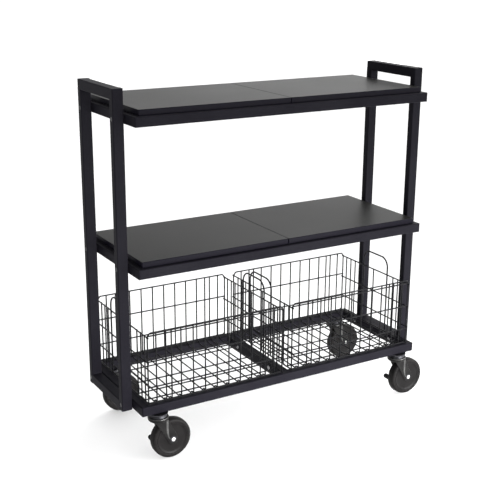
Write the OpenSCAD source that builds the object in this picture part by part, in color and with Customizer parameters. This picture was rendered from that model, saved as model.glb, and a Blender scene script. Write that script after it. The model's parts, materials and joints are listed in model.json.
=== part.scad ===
// Wire shelf cart: two tubular end frames, three shelf frames, flat panels on the
// upper two, two lift-out wire baskets on the lowest, four swivel casters.
// Millimetres. X runs along the length, -Y is the front, +Z is up.
// The origin is on the floor under the centre of the shelf frames.

/* [Overall] */
// length over the two end frames
cart_w = 838.2; // [760:0.1:900]
// depth of the shelf frames, front to back
cart_d = 304.8; // [280:0.1:340]
// height from the floor to the top of the handle bars
cart_h = 857.25; // [800:0.05:900]

/* [End frames] */
// upright tube size along the cart
post_x = 25.4; // [20:0.1:32]
// upright tube size across the cart
post_y = 18; // [14:0.5:24]
// depth of an end frame over its two uprights
end_d = 196.5; // [160:0.5:240]
// height of the uprights' lower ends
end_z0 = 118; // [110:0.5:126]
// height of the handle bar's tube
handle_h = 23.5; // [18:0.5:28]
// height of the bottom bar's tube
foot_bar_h = 23.5; // [18:0.5:28]
// wall of the end frame tubes
post_wall = 1.5; // [1:0.1:2.5]
// outside edge radius of the tubes
tube_r = 2.5; // [1.5:0.1:4]

/* [Shelf frames] */
// side of the square shelf frame tube
rail = 22.7; // [18:0.1:28]
// wall of the shelf frame tube
rail_wall = 1.5; // [1:0.1:2.5]
// height of the top frame's upper face
top_z = 804.1; // [780:0.1:820]
// height of the middle frame's upper face
mid_z = 470.9; // [440:0.1:500]
// height of the bottom frame's upper face
low_z = 142.8; // [138:0.1:150]
// rounding of the frame corners in plan
frame_r = 4; // [2:0.5:8]

/* [Panels] */
// thickness of a shelf panel
panel_t = 13; // [9:0.5:18]
// length of the two panels of one shelf together
panels_w = 759.4; // [700:0.1:780]
// depth of a panel
panel_d = 281.4; // [260:0.1:300]
// gap between the two panels of a shelf
panel_gap = 0.6; // [0.3:0.1:2]

/* [Baskets] */
// length of a basket over the middle of its top wires
rim_l = 359; // [330:0.5:370]
// depth of a basket over the middle of its top wires
rim_w = 286; // [260:0.5:300]
// distance from the cart's middle to a basket's middle
basket_x = 193.5; // [185:0.5:200]
// height of the long straight wire under the front's top wire
rim_z = 310.3; // [280:0.1:330]
// height of the front wall's top wire
front_top = 317.4; // [290:0.1:336]
// height of the back wall's top wire
back_top = 315.5; // [290:0.5:336]
// height of the short walls' top wire
side_top = 307; // [280:1:330]
// height of the lowest ring
base_z = 146.3; // [146:0.1:150]
// height of the floor wires running front to back
floor_z = 140.5; // [139:0.5:142]
// spacing of the wires along the basket
pitch = 31.5; // [28:0.5:36]
// distance between the two wires that stand in for the fourth one each way
pair = 14; // [8:1:20]
// diameter of the grid wires
wire_d = 3.4; // [2.4:0.1:4]
// diameter of the arch handle's wire
arch_wire = 4; // [3:0.1:5]
// distance between the legs of an arch handle
arch_l = 102; // [90:1:120]
// height of the arch handle's top wire
arch_z = 350; // [335:1:365]

/* [Casters] */
// wheel diameter
wheel_d = 98; // [80:1:110]
// width of a wheel's tread
wheel_t = 24; // [18:0.5:30]
// distance the axle trails the swivel axis
trail = 30; // [20:0.5:36]
// distance of the swivel axes from the cart's middle, along the cart
caster_x = 349; // [320:1:355]

/* [Hidden] */

gap = 0.3;                                   // end frame to shelf frame
frame_l = cart_w - 2 * post_x - 2 * gap;     // length of a shelf frame
post_x0 = cart_w / 2 - post_x / 2;           // middle of an upright, along the cart
post_y0 = end_d / 2 - post_y / 2;            // middle of an upright, across the cart
caster_y = cart_d / 2 - rail / 2;            // swivel axis under the middle of the rail
inner_y = end_d / 2 - post_y;                // inside face of an upright
inner_r = 1.2;                               // inside corner radius of the tubes
bolt_d = 6;
insert_d = 9;
screw_d = 4;
bolt_l = 38;
bolt_head = 6.2;                             // radius of the countersunk head
bolt_sink = 3.5;                             // depth of the countersink
hole_room = 0.2;                             // extra radius of a bolt's hole
screw_x = [-300, -80, 80, 300];              // panel screws, along the cart
screw_y = 135.2;                             // and from the middle line
screw_head = 2.4;                            // height of a panel screw's head
panel_r = 2;
ease = 0.6;                                  // eased edge of a panel
over = 1;                                    // how far a cut runs past a surface
plug_d = 10;
plug_hole = 6.4;
plug_y = 77.5;                               // rail plugs, from the middle line
stem_d = 10;
king_d = 8;
race_r = 14;                                 // pitch circle of the swivel balls
race_z = 103.7;
swivel_ball = 4;
axle_d = 8;
run = 0.05;                                  // radial running clearance
cup_r = 20.5;                                // fixed bearing cup
plate_r = 23;                                // washer plate under the rail
dish_r = 24.6;                               // fork's raceway dish
cheek_y = 14.75;                             // middle of a fork cheek
cheek_t = 2.5;
boss_r = 12;                                 // round end of a cheek
rib_y = 16.5;                                // middle of the rib on a cheek
rib_t = 1.6;
hub_r = 9;
web_r = 30;                                  // recessed face of a wheel
recess = 1.5;
cap_y = 16;                                  // seat of the axle's cap
cap_h = 2.4;
nut_r = 6.4;
lever_y = 17.5;                              // middle of the brake lever's plate
lever_t = 2;
lever_eye = 9;                               // radius of the lever round the axle
tip_x = -5;                                  // toe tip of the lever
tip_z = 41.2;
tip_r = 6.2;
tip_l = 17;
axle_z = wheel_d / 2;
wr = wire_d / 2;
ar = arch_wire / 2;
half_l = rim_l / 2;
half_w = rim_w / 2;
front_rings = [base_z, 185, 248];            // heights of the wires round a basket
back_rings = [base_z, 189, 254];
side_wire_z = [base_z, 190, 246, side_top];
single_wires = [for (i = [-5:5]) if (abs(i) != 4) i * pitch];
paired_wires = [for (s = [-1, 1], t = [-1, 1]) s * 4 * pitch + t * pair / 2];
long_wires = concat(single_wires, paired_wires);
side_wires = [-123, -103, -83, 0, 83, 103, 123];
runners = [-106, -66, -10, 66, 106];         // floor wires along the basket
corner_wire = 1.75;                          // radius of a corner upright
weld = 3;                                    // radius of the weld at a wall's corner
stub = 5.5;                                  // wire end standing out past a corner
dip = 6;                                     // length over which a top wire bends down
tuck = 2;                                    // upright wires sit inside the rings
step_in = 11.8;                              // feet pass over the rail, then drop
foot_in = 17;
near = 0.05;                                 // gap between two pieces welded together
bulge = 0.1;                                 // a wire is this much thicker in its bends
dark = [0.20, 0.20, 0.23];
wire_grey = [0.16, 0.16, 0.18];
board = [0.45, 0.45, 0.44];
steel = [0.62, 0.62, 0.64];
plastic = [0.27, 0.27, 0.28];
plug_grey = [0.42, 0.42, 0.43];

// ---------- helpers ----------

module round_rect(w, h, r) {
    square([w - 2 * r, h], center = true);
    square([w, h - 2 * r], center = true);
    for (sx = [-1, 1], sy = [-1, 1])
        translate([sx * (w / 2 - r), sy * (h / 2 - r)])
            circle(r = r, $fn = 32);
}

module tube_section(w, h, wall) {
    difference() {
        round_rect(w, h, tube_r);
        round_rect(w - 2 * wall, h - 2 * wall, inner_r);
    }
}

// a round rod from point p to point q
module rod(p, q, r) {
    d = q - p;
    translate(p)
        rotate([0, acos(d[2] / norm(d)), atan2(d[1], d[0])])
            cylinder(r = r, h = norm(d), $fn = 24);
}

module ball(p, r) {
    translate(p)
        sphere(r = r, $fn = 24);
}

// a cylinder along X, starting at x and running to +X
module bar_x(x, y, z, r, l) {
    translate([x, y, z])
        rotate([0, 90, 0])
            cylinder(r = r, h = l, $fn = 32);
}

// ---------- end frames, drawn at the +X end ----------

// one upright with its ends closed and the bolt holes through it
module upright(side) {
    translate([post_x0, side * post_y0, 0])
        difference() {
            translate([0, 0, end_z0])
                linear_extrude(cart_h - end_z0)
                    round_rect(post_x, post_y, tube_r);
            translate([0, 0, end_z0 + post_wall])
                linear_extrude(cart_h - end_z0 - 2 * post_wall)
                    round_rect(post_x - 2 * post_wall, post_y - 2 * post_wall, inner_r);
            for (z = [top_z, mid_z, low_z])
                translate([0, 0, z - rail / 2])
                    rotate([0, 90, 0]) {
                        cylinder(r = bolt_d / 2 + hole_room, h = post_x + 2 * over,
                            center = true, $fn = 32);
                        translate([0, 0, post_x / 2 - bolt_sink + 0.1])
                            cylinder(r1 = bolt_d / 2 + hole_room, r2 = bolt_head + 0.5,
                                h = bolt_sink, $fn = 32);
                    }
        }
}

module handle_bar() {
    translate([post_x0, 0, cart_h - handle_h / 2])
        rotate([90, 0, 0])
            linear_extrude(2 * inner_y, center = true)
                tube_section(post_x, handle_h, post_wall);
}

module bottom_bar() {
    translate([post_x0, 0, end_z0 + foot_bar_h / 2])
        rotate([90, 0, 0])
            linear_extrude(2 * inner_y, center = true)
                tube_section(post_x, foot_bar_h, post_wall);
}

// ---------- shelf frames; z is the frame's upper face ----------

module frame_plan(z) {
    translate([0, 0, z - rail - over])
        linear_extrude(rail + 2 * over)
            round_rect(frame_l, cart_d, frame_r);
}

// front rail; extra holes for the panel screws or for the caster stems
module long_rail(z, screws, stems) {
    l = frame_l / 2;
    d = cart_d / 2;
    difference() {
        intersection() {
            translate([0, -d + rail / 2, z - rail / 2])
                rotate([90, 0, 90])
                    linear_extrude(frame_l, center = true)
                        tube_section(rail, rail, rail_wall);
            translate([0, 0, z - rail - over])
                linear_extrude(rail + 2 * over)
                    polygon([[-l, -d], [l, -d], [l - rail, rail - d], [rail - l, rail - d]]);
            frame_plan(z);
        }
        if (screws)
            for (x = screw_x)
                translate([x, -screw_y, z - rail - over])
                    cylinder(r = screw_d / 2 + 0.1, h = rail + 2 * over, $fn = 24);
        if (stems)
            for (x = [-caster_x, caster_x])
                translate([x, -caster_y, z - rail - over])
                    cylinder(r = stem_d / 2 + 0.1, h = 4, $fn = 32);
    }
}

// right side rail with the holes for its threaded inserts and, if asked, its plugs
module side_rail(z, plugs) {
    l = frame_l / 2;
    d = cart_d / 2;
    difference() {
        intersection() {
            translate([l - rail / 2, 0, z - rail / 2])
                rotate([90, 0, 0])
                    linear_extrude(cart_d, center = true)
                        tube_section(rail, rail, rail_wall);
            translate([0, 0, z - rail - over])
                linear_extrude(rail + 2 * over)
                    polygon([[l, -d], [l, d], [l - rail, d - rail], [l - rail, rail - d]]);
            frame_plan(z);
        }
        for (s = [-1, 1]) {
            bar_x(l - 4, s * post_y0, z - rail / 2, insert_d / 2 + run, 6);
            if (plugs)
                bar_x(l - rail - 1, s * plug_y, z - rail / 2, plug_hole / 2, 4);
        }
    }
}

module cross_bar(z, plugs) {
    difference() {
        translate([0, 0, z - rail / 2])
            rotate([90, 0, 0])
                linear_extrude(cart_d - 2 * rail, center = true)
                    tube_section(rail, rail, rail_wall);
        if (plugs)
            for (s = [-1, 1])
                bar_x(-rail, s * plug_y, z - rail / 2, plug_hole / 2, 2 * rail);
    }
}

// right-hand panel of a shelf, its edges eased, with four blind screw holes
module panel(z) {
    w = panels_w / 2 - panel_gap / 2;
    difference() {
        translate([panel_gap / 2 + w / 2, 0, z]) {
            translate([0, 0, ease])
                linear_extrude(panel_t - 2 * ease)
                    round_rect(w, panel_d, panel_r);
            linear_extrude(panel_t)
                round_rect(w - 2 * ease, panel_d - 2 * ease, panel_r - 0.4);
        }
        for (x = screw_x, s = [-1, 1])
            if (x > 0)
                translate([x, s * screw_y, z - over])
                    cylinder(r = screw_d / 2 + run, h = 10, $fn = 24);
    }
}

// ---------- fasteners ----------

// flush countersunk bolt through an upright into the side rail
module frame_bolt() {
    translate([cart_w / 2 - 0.1, 0, 0])
        rotate([0, -90, 0])
            difference() {
                union() {
                    cylinder(r1 = bolt_head, r2 = bolt_d / 2, h = bolt_sink - 0.2, $fn = 32);
                    cylinder(r = bolt_d / 2, h = bolt_l, $fn = 32);
                }
                translate([0, 0, -over])
                    cylinder(r = 2.3, h = 3.4, $fn = 6);
            }
}

// threaded insert held in the side rail's outer wall
module frame_insert() {
    difference() {
        bar_x(frame_l / 2 - 14, 0, 0, insert_d / 2, 14);
        bar_x(frame_l / 2 - 15, 0, 0, bolt_d / 2 + run, 16);
    }
}

module at_frame_joints() {
    for (e = [0, 1], z = [top_z, mid_z, low_z], s = [-1, 1])
        mirror([e, 0, 0])
            translate([0, s * post_y0, z - rail / 2])
                children();
}

// pan head screw driven up through a long rail into a panel
module panel_screw() {
    translate([0, 0, -rail - screw_head])
        difference() {
            cylinder(r = 4, h = screw_head, $fn = 32);
            translate([0, 0, -over])
                cylinder(r = 1.4, h = screw_head, $fn = 6);
        }
    translate([0, 0, -rail - 0.2])
        cylinder(r = screw_d / 2, h = rail + 8, $fn = 24);
}

// domed plug in a rail's side wall, its head at x = 0 and facing -X
module rail_plug() {
    rotate([0, -90, 0])
        rotate_extrude($fn = 48)
            polygon([[0, -5], [plug_hole / 2 - run, -5], [plug_hole / 2 - run, 0.05],
                [plug_d / 2, 0.05], [plug_d / 2, 0.8], [plug_d / 2 - 1.2, 1.6],
                [plug_d / 2 - 3, 2], [0, 2.1]]);
}

// ---------- casters; x = 0, y = 0 is the swivel axis ----------

// groove for the ring of swivel balls
module race() {
    rotate_extrude($fn = 48)
        translate([race_r, race_z])
            circle(r = swivel_ball / 2 + 0.3, $fn = 24);
}

// fixed upper part: threaded stem, washer, bearing cup and riveted kingpin
module caster_stem() {
    difference() {
        rotate_extrude($fn = 48)
            polygon([[0, 139], [stem_d / 2, 139], [stem_d / 2, low_z - rail],
                [plate_r, low_z - rail], [plate_r, 117.6], [17.5, 116.6], [cup_r, 111],
                [cup_r, 104.2], [king_d / 2, 104.2],
                [king_d / 2, 99.2], [7, 99.2], [7, 97.6], [5, 96.4], [0, 96.4]]);
        race();
    }
}

module ball_ring() {
    for (i = [0:8])
        rotate([0, 0, i * 40])
            translate([race_r, 0, race_z])
                sphere(r = swivel_ball / 2, $fn = 24);
}

// threaded boss inside the rail that takes the stem
module caster_socket() {
    difference() {
        translate([0, 0, low_z - rail + rail_wall])
            cylinder(r = 8, h = 17, $fn = 6);
        translate([0, 0, 110])
            cylinder(r = stem_d / 2 + run, h = 40, $fn = 32);
    }
}

// stamped fork: raceway dish on top, two cheeks reaching down to the axle
module fork() {
    difference() {
        union() {
            rotate_extrude($fn = 48)
                polygon([[king_d / 2 + run, 100], [22, 100], [dish_r, 102.4], [dish_r, 109.6],
                    [cup_r + 1.3, 109.6], [cup_r + 1.3, 103.2], [king_d / 2 + run, 103.2]]);
            for (s = [-1, 1])
                translate([0, s * cheek_y, 0])
                    rotate([90, 0, 0])
                        linear_extrude(cheek_t, center = true) {
                            polygon([[-14.5, 100], [-14.5, 102.4], [19.2, 102.4], [19.2, 98],
                                [36, 59.4], [20, 42.4], [15.5, 51.2]]);
                            translate([trail, axle_z])
                                circle(r = boss_r, $fn = 48);
                        }
            for (s = [-1, 1])
                translate([0, s * rib_y, 0])
                    rotate([90, 0, 0])
                        linear_extrude(rib_t, center = true)
                            polygon([[13.4, 101.2], [17.6, 101.2], [19.6, 60], [16, 58]]);
        }
        race();
        translate([trail, 0, axle_z])
            rotate([90, 0, 0])
                cylinder(r = axle_d / 2 + run, h = 60, center = true, $fn = 48);
    }
}

// moulded wheel with a crowned tread, recessed faces and a long hub
module wheel() {
    h = wheel_t / 2;
    r = wheel_d / 2;
    translate([trail, 0, axle_z])
        rotate([90, 0, 0])
            rotate_extrude($fn = 64) {
                polygon([[axle_d / 2 + run, -h - 1], [hub_r, -h - 1], [hub_r + 1.5, recess - h],
                    [web_r, recess - h], [web_r + 3, -h], [r - 5, -h], [r - 1.4, 2.2 - h],
                    [r, 5 - h], [r, h - 5], [r - 1.4, h - 2.2], [r - 5, h], [web_r + 3, h],
                    [web_r, h - recess], [hub_r + 1.5, h - recess], [hub_r, h + 1],
                    [axle_d / 2 + run, h + 1]]);
            }
}

// axle bolt with a domed cap on its -Y end and a hexagon nut at nut_y on the other
module axle(nut_y) {
    translate([trail, 0, axle_z])
        rotate([-90, 0, 0]) {
            translate([0, 0, -cap_y])
                cylinder(r = axle_d / 2, h = cap_y + nut_y, $fn = 48);
            translate([0, 0, -cap_y - cap_h])
                cylinder(r = 5, h = cap_h, $fn = 48);
            translate([0, 0, -cap_y - cap_h + ease])
                cylinder(r = 6, h = cap_h - ease, $fn = 48);
            translate([0, 0, nut_y])
                cylinder(r = nut_r, h = cap_h, $fn = 6);
        }
}

// side brake lever on the axle, its rubbered toe tip standing out sideways
module brake_lever() {
    difference() {
        union() {
            translate([0, lever_y, 0])
                rotate([90, 0, 0])
                    linear_extrude(lever_t, center = true) {
                        translate([trail, axle_z])
                            circle(r = lever_eye, $fn = 48);
                        polygon([[trail, axle_z + lever_eye], [tip_x, 47], [tip_x, 35.5],
                            [trail, axle_z - lever_eye]]);
                        translate([tip_x, tip_z])
                            circle(r = 5.8, $fn = 48);
                    }
            translate([tip_x, lever_y - 0.9, tip_z])
                rotate([-90, 0, 0])
                    cylinder(r = tip_r, h = tip_l, $fn = 48);
            ball([tip_x, lever_y - 0.9 + tip_l, tip_z], tip_r);
        }
        translate([trail, 0, axle_z])
            rotate([90, 0, 0])
                cylinder(r = axle_d / 2 + run, h = 60, center = true, $fn = 48);
    }
}

module at_caster(sx, sy) {
    translate([sx * caster_x, sy * caster_y, 0])
        children();
}

// ---------- baskets; x = 0 is the basket's middle ----------

// top wire of a long wall, its ends bent down to the corners at height end_z
module bent_rim(z, end_z) {
    level = half_l - dip;
    rod([-level, -half_w, z], [level, -half_w, z], wr);
    for (s = [-1, 1]) {
        rod([s * level, -half_w, z], [s * half_l, -half_w, end_z], wr);
        ball([s * level, -half_w, z], wr + bulge);
        ball([s * half_l, -half_w, end_z], wr + bulge);
    }
}

// long wall on the front side: wires along it, uprights, and their feet over the rail
module long_grid(rings, top) {
    for (x = long_wires) {
        path = [[x, tuck - half_w, top], [x, tuck - half_w, base_z],
            [x, step_in - half_w, base_z - 0.5], [x, foot_in - half_w, floor_z]];
        for (i = [1:3]) {
            rod(path[i], path[i - 1], wr);
            ball(path[i], wr + bulge);
        }
    }
    for (z = rings)
        rod([-half_l, -half_w, z], [half_l, -half_w, z], wr);
}

// corner uprights of a long wall with the welds and ends of the short walls' wires
module corner_posts(top) {
    for (s = [-1, 1]) {
        rod([s * half_l, -half_w, base_z], [s * half_l, -half_w, top], corner_wire);
        for (z = side_wire_z) {
            ball([s * half_l, -half_w, z], weld);
            rod([s * half_l, -half_w - stub, z], [s * half_l, -half_w, z], wr);
        }
    }
}

module basket_front() {
    long_grid(front_rings, front_top);
    corner_posts(rim_z);
    rod([-half_l, -half_w, rim_z], [half_l, -half_w, rim_z], wr);
    bent_rim(front_top, rim_z);
}

module basket_back() {
    mirror([0, 1, 0]) {
        long_grid(back_rings, back_top);
        corner_posts(side_top);
        bent_rim(back_top, side_top);
    }
}

// short wall on the +X side, between the corner uprights
module basket_side() {
    for (z = side_wire_z)
        rod([half_l, near + weld - half_w, z], [half_l, half_w - weld - near, z], wr);
    for (y = side_wires)
        rod([half_l - tuck, y, base_z], [half_l - tuck, y, side_top], wr);
}

// floor wires both ways; the long ones turn up to the lowest ring at their ends
module basket_floor() {
    end_y = half_w - foot_in - wr - bulge - near;
    end_x = half_l - 8;
    up_x = half_l - wr - 0.35;
    low = floor_z - tuck;
    for (x = long_wires)
        rod([x, -end_y, floor_z], [x, end_y, floor_z], wr);
    for (y = runners) {
        rod([-end_x, y, low], [end_x, y, low], wr);
        for (s = [-1, 1]) {
            ball([s * end_x, y, low], wr + bulge);
            rod([s * end_x, y, low], [s * up_x, y, base_z - near], wr);
        }
    }
}

// arch handle on the outside of the +X wall, its legs running down to the lowest ring
module basket_handle() {
    h = arch_l / 2;
    bend = 26;
    x = half_l + wr + ar - near;
    for (s = [-1, 1])
        rod([x, s * h, base_z + tuck], [x, s * h, arch_z - bend], ar);
    for (s = [0, 1])
        mirror([0, s, 0])
            translate([x, h - bend, arch_z - bend])
                rotate([90, 0, 90])
                    rotate_extrude(angle = 90, $fn = 48)
                        translate([bend, 0])
                            circle(r = ar, $fn = 24);
    rod([x, bend - h, arch_z], [x, h - bend, arch_z], ar);
}

module at_basket(s) {
    translate([s * basket_x, 0, 0])
        children();
}

// ---------- nodes ----------

module left_front_upright() { color(dark) mirror([1, 0, 0]) upright(-1); }
module left_back_upright() { color(dark) mirror([1, 0, 0]) upright(1); }
module left_handle_bar() { color(dark) mirror([1, 0, 0]) handle_bar(); }
module left_bottom_bar() { color(dark) mirror([1, 0, 0]) bottom_bar(); }
module right_front_upright() { color(dark) upright(-1); }
module right_back_upright() { color(dark) upright(1); }
module right_handle_bar() { color(dark) handle_bar(); }
module right_bottom_bar() { color(dark) bottom_bar(); }

module top_front_rail() { color(dark) long_rail(top_z, true, false); }
module top_back_rail() { color(dark) mirror([0, 1, 0]) long_rail(top_z, true, false); }
module top_left_rail() { color(dark) mirror([1, 0, 0]) side_rail(top_z, false); }
module top_right_rail() { color(dark) side_rail(top_z, false); }
module top_cross_bar() { color(dark) cross_bar(top_z, false); }
module middle_front_rail() { color(dark) long_rail(mid_z, true, false); }
module middle_back_rail() { color(dark) mirror([0, 1, 0]) long_rail(mid_z, true, false); }
module middle_left_rail() { color(dark) mirror([1, 0, 0]) side_rail(mid_z, false); }
module middle_right_rail() { color(dark) side_rail(mid_z, false); }
module middle_cross_bar() { color(dark) cross_bar(mid_z, false); }
module bottom_front_rail() { color(dark) long_rail(low_z, false, true); }
module bottom_back_rail() { color(dark) mirror([0, 1, 0]) long_rail(low_z, false, true); }
module bottom_left_rail() { color(dark) mirror([1, 0, 0]) side_rail(low_z, true); }
module bottom_right_rail() { color(dark) side_rail(low_z, true); }
module bottom_cross_bar() { color(dark) cross_bar(low_z, true); }

module top_left_panel() { color(board) mirror([1, 0, 0]) panel(top_z); }
module top_right_panel() { color(board) panel(top_z); }
module middle_left_panel() { color(board) mirror([1, 0, 0]) panel(mid_z); }
module middle_right_panel() { color(board) panel(mid_z); }

module frame_bolts() { color(steel) at_frame_joints() frame_bolt(); }
module frame_inserts() { color(steel) at_frame_joints() frame_insert(); }
module panel_screws() {
    color(steel)
        for (z = [top_z, mid_z], x = [-300, -80, 80, 300], s = [-1, 1])
            translate([x, s * screw_y, z])
                panel_screw();
}
module rail_plugs() {
    color(plug_grey)
        for (e = [0, 1], x = [rail / 2, frame_l / 2 - rail], s = [-1, 1])
            mirror([e, 0, 0])
                translate([x, s * plug_y, low_z - rail / 2])
                    mirror([x < rail ? 1 : 0, 0, 0]) rail_plug();
}
module caster_sockets() {
    color(steel)
        for (sx = [-1, 1], sy = [-1, 1])
            at_caster(sx, sy) caster_socket();
}
module caster_stems() {
    color(steel)
        for (sx = [-1, 1], sy = [-1, 1])
            at_caster(sx, sy) caster_stem();
}
module swivel_balls() {
    color(steel)
        for (sx = [-1, 1], sy = [-1, 1])
            at_caster(sx, sy) ball_ring();
}

module left_basket_floor() { color(wire_grey) at_basket(-1) basket_floor(); }
module left_basket_front() { color(wire_grey) at_basket(-1) basket_front(); }
module left_basket_back() { color(wire_grey) at_basket(-1) basket_back(); }
module left_basket_outer_side() {
    color(wire_grey) at_basket(-1) mirror([1, 0, 0]) basket_side();
}
module left_basket_inner_side() { color(wire_grey) at_basket(-1) basket_side(); }
module left_basket_handles() {
    color(wire_grey)
        at_basket(-1)
            for (s = [0, 1])
                mirror([s, 0, 0]) basket_handle();
}
module right_basket_floor() { color(wire_grey) at_basket(1) basket_floor(); }
module right_basket_front() { color(wire_grey) at_basket(1) basket_front(); }
module right_basket_back() { color(wire_grey) at_basket(1) basket_back(); }
module right_basket_outer_side() { color(wire_grey) at_basket(1) basket_side(); }
module right_basket_inner_side() {
    color(wire_grey) at_basket(1) mirror([1, 0, 0]) basket_side();
}
module right_basket_handles() {
    color(wire_grey)
        at_basket(1)
            for (s = [0, 1])
                mirror([s, 0, 0]) basket_handle();
}

module front_left_fork() { color(dark) at_caster(-1, -1) fork(); }
module front_left_axle() { color(steel) at_caster(-1, -1) axle(lever_y + 1.2); }
module front_left_wheel() { color(plastic) at_caster(-1, -1) wheel(); }
module front_left_brake_lever() { color(plastic) at_caster(-1, -1) brake_lever(); }
module front_right_fork() { color(dark) at_caster(1, -1) fork(); }
module front_right_axle() { color(steel) at_caster(1, -1) axle(lever_y + 1.2); }
module front_right_wheel() { color(plastic) at_caster(1, -1) wheel(); }
module front_right_brake_lever() { color(plastic) at_caster(1, -1) brake_lever(); }
module back_left_fork() { color(dark) at_caster(-1, 1) fork(); }
module back_left_axle() { color(steel) at_caster(-1, 1) mirror([0, 1, 0]) axle(cap_y); }
module back_left_wheel() { color(plastic) at_caster(-1, 1) wheel(); }
module back_right_fork() { color(dark) at_caster(1, 1) fork(); }
module back_right_axle() { color(steel) at_caster(1, 1) mirror([0, 1, 0]) axle(cap_y); }
module back_right_wheel() { color(plastic) at_caster(1, 1) wheel(); }

left_front_upright();
left_back_upright();
left_handle_bar();
left_bottom_bar();
right_front_upright();
right_back_upright();
right_handle_bar();
right_bottom_bar();
top_front_rail();
top_back_rail();
top_left_rail();
top_right_rail();
top_cross_bar();
middle_front_rail();
middle_back_rail();
middle_left_rail();
middle_right_rail();
middle_cross_bar();
bottom_front_rail();
bottom_back_rail();
bottom_left_rail();
bottom_right_rail();
bottom_cross_bar();
top_left_panel();
top_right_panel();
middle_left_panel();
middle_right_panel();
frame_bolts();
frame_inserts();
panel_screws();
rail_plugs();
caster_sockets();
caster_stems();
swivel_balls();
left_basket_floor();
left_basket_front();
left_basket_back();
left_basket_outer_side();
left_basket_inner_side();
left_basket_handles();
right_basket_floor();
right_basket_front();
right_basket_back();
right_basket_outer_side();
right_basket_inner_side();
right_basket_handles();
front_left_fork();
front_left_axle();
front_left_wheel();
front_left_brake_lever();
front_right_fork();
front_right_axle();
front_right_wheel();
front_right_brake_lever();
back_left_fork();
back_left_axle();
back_left_wheel();
back_right_fork();
back_right_axle();
back_right_wheel();
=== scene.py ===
import json
import math

import bmesh
import bpy
from mathutils import Matrix, Vector


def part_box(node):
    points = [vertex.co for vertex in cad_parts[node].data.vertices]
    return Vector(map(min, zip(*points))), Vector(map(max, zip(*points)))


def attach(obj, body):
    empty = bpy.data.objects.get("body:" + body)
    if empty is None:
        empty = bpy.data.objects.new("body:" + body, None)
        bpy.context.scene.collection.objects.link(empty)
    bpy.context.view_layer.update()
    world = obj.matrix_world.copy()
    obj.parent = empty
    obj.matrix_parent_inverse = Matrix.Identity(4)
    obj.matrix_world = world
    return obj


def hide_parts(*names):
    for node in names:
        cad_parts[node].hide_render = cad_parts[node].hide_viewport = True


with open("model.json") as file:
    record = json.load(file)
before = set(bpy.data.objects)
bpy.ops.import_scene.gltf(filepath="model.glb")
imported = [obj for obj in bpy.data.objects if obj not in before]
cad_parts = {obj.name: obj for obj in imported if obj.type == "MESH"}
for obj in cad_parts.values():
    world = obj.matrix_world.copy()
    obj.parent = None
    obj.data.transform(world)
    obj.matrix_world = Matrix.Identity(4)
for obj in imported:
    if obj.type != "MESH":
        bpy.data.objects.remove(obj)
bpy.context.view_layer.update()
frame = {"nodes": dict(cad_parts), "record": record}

# Metres throughout. X runs along the cart, -Y is its front, Z is up.
SIDES = ("left", "right")
CORNERS = ("front_left", "front_right", "back_left", "back_right")

# Frame
TUBE_ROUND = 0.0025      # outside edge radius of the tubes
END_FILLET = 0.0028      # weld inside the end frames' corners
SHELF_FILLET = 0.0035    # weld inside the shelf frames' corners
SKIN = 0.00002           # a ground-off weld stands this proud of the tube
BOLT_INSET = 0.0062      # from the end of the bolts' box to a bolt's axis
PANEL_CORNER = 0.002     # a shelf panel's corner radius in plan

# Basket wire, as the CAD baskets have it
WIRE = 0.0017            # radius of the grid wires
BULGE = 0.0001           # extra radius in the CAD wires' bends
ARCH = 0.002             # radius of the arch handles' wire
CORNER = 0.00175         # radius of the corner uprights
WELD = 0.003             # radius of the weld at a wall's corner
STUB = 0.0055            # wire end standing out past a corner
TUCK = 0.002             # uprights stand this far inside the rings, lower floor wires this far under
BASE_Z = 0.1463          # lowest ring
FLOOR_Z = 0.1405         # floor wires running front to back
FRONT_RINGS = (BASE_Z, 0.185, 0.248)
BACK_RINGS = (BASE_Z, 0.189, 0.254)
SIDE_RINGS = (BASE_Z, 0.190, 0.246)
FRONT_RIM = 0.3103       # straight wire under the front wall's top wire
DIP = 0.006              # a top wire bends down this far from each corner, and its bend radius
PITCH = 0.0315           # spacing of the long walls' uprights
OUTER = 5                # uprights each way from the middle one
PAIRED = 4               # the one of them that is doubled
PAIR = 0.014             # distance between the two wires of a doubled upright
SIDE_WIRES = (-0.123, -0.103, -0.083, 0.0, 0.083, 0.103, 0.123)
FLOOR_WIRES = (-0.106, -0.066, -0.010, 0.066, 0.106)
STEP_IN = 0.0118         # from the wall to where the floor wires leave the rail
FOOT_IN = 0.0170         # from the wall to where they reach the floor's level
SETTLE = 0.0005          # a wire sits this much lower or further in where it crosses another
FLOOR_BEND = 0.004       # bend radius of the floor wires
TURN_UP = 0.008          # the lengthwise floor wires turn up this far from the wall
LAP = 0.0002             # and end this far under the lowest ring's middle
ARCH_BEND = 0.026        # bend radius of the arch handles
NUDGE = 0.001            # small offset that seats wire ends and welds
DOME = ((0.60, 0.62), (0.30, 0.90))    # a wire's domed end: reach and width, in radii

# Half sizes of the baskets' welds, and segments and rings of the larger ones
CORNER_WELD = (0.0026, 0.0028, 0.0026)
RIM_WELD = (0.0027, 0.0030, 0.0028)
FLOOR_WELD = (0.0022, 0.0022, 0.0018)
LONG_WELD = (0.0022, 0.0018, 0.0022)
SHORT_WELD = (0.0018, 0.0022, 0.0022)
LEG_WELD = (0.0016, 0.0026, 0.0022)
LEG_TOP_WELD = (0.0017, 0.0026, 0.0023)
FINE = (10, 6)

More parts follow.
